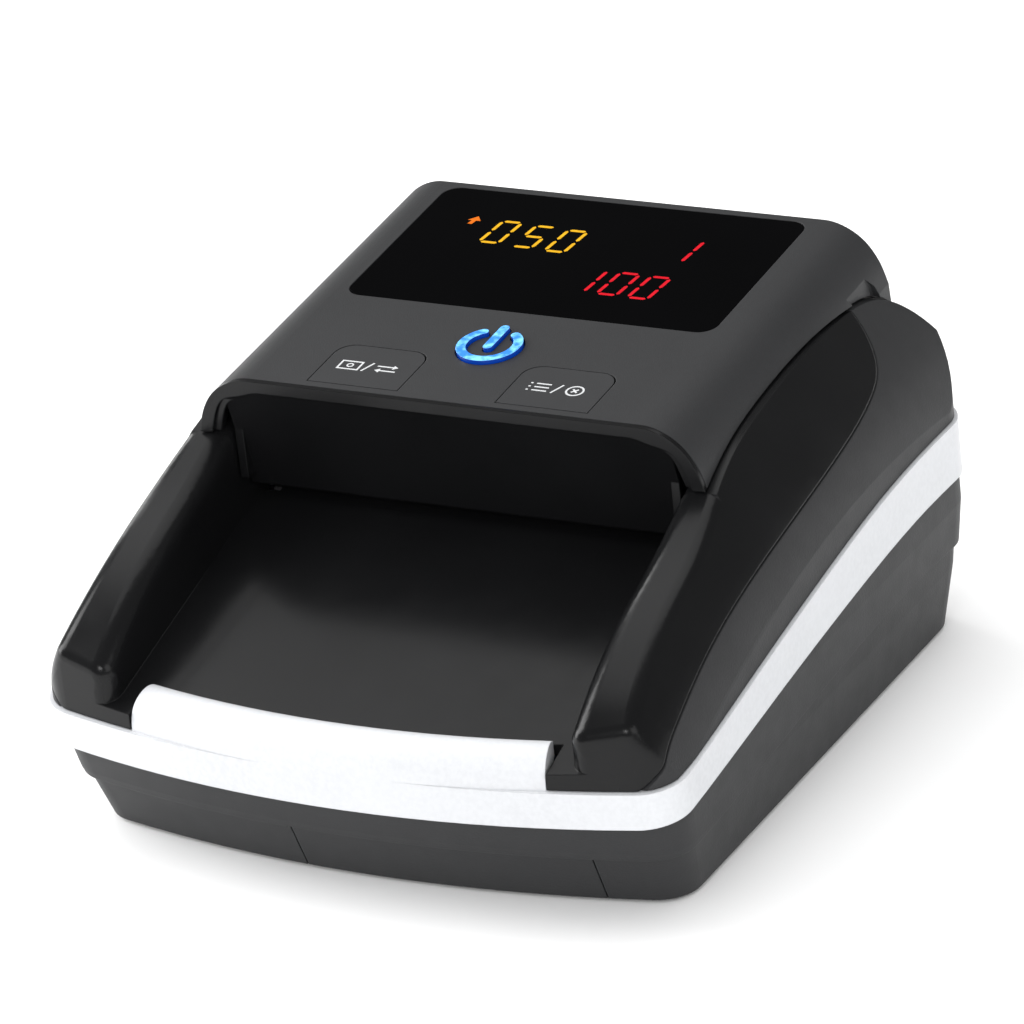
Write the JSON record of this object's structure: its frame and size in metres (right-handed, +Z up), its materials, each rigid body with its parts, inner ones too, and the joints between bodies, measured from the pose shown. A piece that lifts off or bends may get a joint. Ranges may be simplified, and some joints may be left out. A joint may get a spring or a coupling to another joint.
{
  "type": "banknote counting machine",
  "caption": "Desktop banknote counting machine with a front feed tray, a hinged display head, roller drive, keys and a light trim band round a dark housing.",
  "frame": {"origin": "middle of the underside, at the level the feet rest on", "axes": "+X to the user's right, +Y to the rear, +Z up; the feed tray faces -Y"},
  "size_m": [0.14, 0.1583, 0.0875],
  "materials": {
    "charcoal": "matte",
    "gloss_black": "gloss",
    "white": "satin",
    "window": "gloss",
    "steel": "satin",
    "bronze": "satin",
    "rubber": "matte",
    "board": "satin",
    "digit_black": "matte",
    "power_blue": "gloss",
    "part_black": "matte",
    "battery_blue": "satin",
    "glass": "gloss"
  },
  "bodies": {
    "housing": {"base_shell": "charcoal", "trim_band": "white", "feed_tray": "gloss_black", "outer_cover": "charcoal", "hinge_pins": "steel", "motor": "steel", "drive_belt": "rubber", "shaft_bushes": "bronze", "side_plate_left": "steel", "side_plate_right": "steel", "sensor_glass": "glass", "magnetic_head": "steel", "main_board": "board", "board_screws": "steel", "battery_pack": "battery_blue", "rubber_feet": "rubber", "base_screws": "steel", "dc_jack": "part_black", "buzzer": "part_black"},
    "door": {"access_door": "charcoal"},
    "head": {"head_cover": "charcoal", "head_bezel": "gloss_black", "upper_guide": "part_black", "display_window": "window", "display_board": "board", "digit_modules": "digit_black", "key_board": "board", "left_switch": "part_black", "right_switch": "part_black", "power_switch": "part_black", "left_dome": "rubber", "right_dome": "rubber", "power_dome": "rubber", "upper_sensor": "part_black"},
    "left_key": {"left_key": "charcoal"},
    "right_key": {"right_key": "charcoal"},
    "power_key": {"power_key": "power_blue"},
    "motor_rotor": {"motor_shaft": "steel", "motor_pulley": "part_black"},
    "feed_drive": {"feed_shaft": "steel", "feed_rollers": "rubber", "feed_pulley": "part_black"},
    "feed_pinch": {"feed_pinch_axle": "steel", "feed_pinch_rollers": "rubber"},
    "transport_drive": {"transport_shaft": "steel", "transport_rollers": "rubber", "transport_pulley": "part_black"},
    "transport_pinch": {"transport_pinch_axle": "steel", "transport_pinch_rollers": "rubber"},
    "exit_drive": {"exit_shaft": "steel", "exit_rollers": "rubber", "exit_pulley": "part_black"},
    "exit_pinch": {"exit_pinch_axle": "steel", "exit_pinch_rollers": "rubber"}
  },
  "joints": [
    {"name": "head_hinge", "type": "hinge", "parent": "housing", "child": "head", "pos_m": [0, 0.065, 0.067], "axis": [-1, 0, 0], "range_deg": [0, 40]},
    {"name": "door_slide", "type": "slide", "parent": "housing", "child": "door", "axis": [0, -1, 0], "range_m": [0, 0.014]},
    {"name": "left_key_press", "type": "slide", "parent": "head", "child": "left_key", "axis": [0, 0.0807, -0.9967], "range_m": [0, 0.0007], "stiffness_N_per_m": 1500},
    {"name": "right_key_press", "type": "slide", "parent": "head", "child": "right_key", "axis": [0, 0.0807, -0.9967], "range_m": [0, 0.0007], "stiffness_N_per_m": 1500},
    {"name": "power_key_press", "type": "slide", "parent": "head", "child": "power_key", "axis": [0, 0.0807, -0.9967], "range_m": [0, 0.0007], "stiffness_N_per_m": 1500},
    {"name": "motor_spin", "type": "hinge", "parent": "housing", "child": "motor_rotor", "pos_m": [0, 0.022, 0.025], "axis": [1, 0, 0], "continuous": true},
    {"name": "feed_drive_spin", "type": "hinge", "parent": "housing", "child": "feed_drive", "pos_m": [0, 0.00224, 0.04658], "axis": [1, 0, 0], "continuous": true},
    {"name": "feed_pinch_spin", "type": "hinge", "parent": "head", "child": "feed_pinch", "pos_m": [0, -0.00069, 0.0575], "axis": [1, 0, 0], "continuous": true},
    {"name": "transport_drive_spin", "type": "hinge", "parent": "housing", "child": "transport_drive", "pos_m": [0, 0.02252, 0.05202], "axis": [1, 0, 0], "continuous": true},
    {"name": "transport_pinch_spin", "type": "hinge", "parent": "head", "child": "transport_pinch", "pos_m": [0, 0.0196, 0.06293], "axis": [1, 0, 0], "continuous": true},
    {"name": "exit_drive_spin", "type": "hinge", "parent": "housing", "child": "exit_drive", "pos_m": [0, 0.04281, 0.05745], "axis": [1, 0, 0], "continuous": true},
    {"name": "exit_pinch_spin", "type": "hinge", "parent": "head", "child": "exit_pinch", "pos_m": [0, 0.03988, 0.06837], "axis": [1, 0, 0], "continuous": true}
  ],
  "couplings": [
    {"joint": "feed_drive_spin", "follows": "transport_drive_spin", "ratio": 1},
    {"joint": "feed_pinch_spin", "follows": "transport_drive_spin", "ratio": -1.75},
    {"joint": "transport_pinch_spin", "follows": "transport_drive_spin", "ratio": -1.75},
    {"joint": "exit_drive_spin", "follows": "transport_drive_spin", "ratio": 1},
    {"joint": "exit_pinch_spin", "follows": "transport_drive_spin", "ratio": -1.75},
    {"joint": "motor_spin", "follows": "transport_drive_spin", "ratio": 1.4274}
  ]
}
